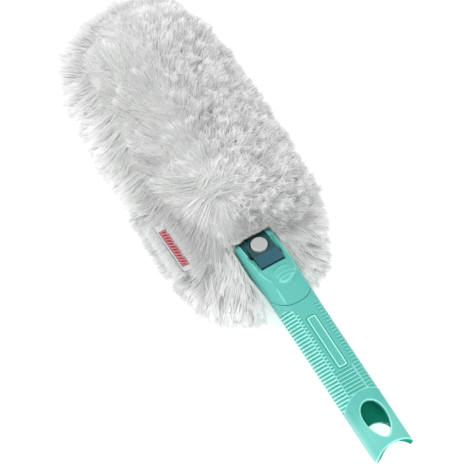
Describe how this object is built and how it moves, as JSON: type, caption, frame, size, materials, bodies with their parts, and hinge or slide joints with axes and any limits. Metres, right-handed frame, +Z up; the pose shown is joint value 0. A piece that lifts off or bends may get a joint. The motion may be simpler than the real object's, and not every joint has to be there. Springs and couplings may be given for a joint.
{
  "type": "tilting duster",
  "caption": "Long-handled duster: ribbed tubular grip, push-button tilting joint and a flat oval frame inside a pull-off sleeve of long soft pile, with a small side label.",
  "frame": {"origin": "middle of the base of the bounding box, in the plane the pile rests on", "axes": "+Y from the grip's open end towards the far end of the head, +Z up out of the front face, X across"},
  "size_m": [0.146, 0.4536, 0.069],
  "materials": {
    "teal_plastic": "satin moulded",
    "dark_plastic": "fine satin",
    "button_plastic": "satin",
    "lock_plastic": "plain moulded",
    "frame_plastic": "plain moulded",
    "steel": "plain",
    "backing_cloth": "knitted",
    "pile": "long fine pile",
    "label_white": "woven tape",
    "label_red": "printed patch"
  },
  "bodies": {
    "handle": {"joint_housing": "teal_plastic", "hinge_pin": "steel", "detent_ring_left": "lock_plastic", "detent_ring_right": "lock_plastic"},
    "grip": {"grip_tube": "teal_plastic", "latch_leaf": "steel", "latch_stud": "lock_plastic"},
    "head": {"hub_front": "dark_plastic", "hub_back": "dark_plastic", "hub_screw_left": "steel", "hub_screw_right": "steel", "head_frame": "frame_plastic", "button_spring": "steel"},
    "button": {"release_button": "button_plastic", "lock_key": "lock_plastic"},
    "cover": {"cover_front_cloth": "backing_cloth", "cover_back_cloth": "backing_cloth", "edge_binding": "backing_cloth", "front_hem": "backing_cloth", "back_hem": "backing_cloth", "pile_front": "pile", "pile_back": "pile", "label_tag": "label_white", "label_patch": "label_red"}
  },
  "joints": [
    {"name": "head_tilt", "type": "hinge", "parent": "handle", "child": "head", "pos_m": [0, -0.0292, 0.032], "axis": [-1, 0, 0], "range_deg": [0, 90]},
    {"name": "button_press", "type": "slide", "parent": "head", "child": "button", "axis": [0, -0.1305, -0.9914], "range_m": [0, 0.0022], "stiffness_N_per_m": 350, "springref_m": -0.004, "deforming": ["button_spring"]},
    {"name": "grip_pull", "type": "slide", "parent": "handle", "child": "grip", "axis": [0, -0.9936, -0.1132], "range_m": [0, 0.05]},
    {"name": "cover_pull", "type": "slide", "parent": "head", "child": "cover", "axis": [0, 1, 0], "range_m": [0, 0.26]}
  ]
}
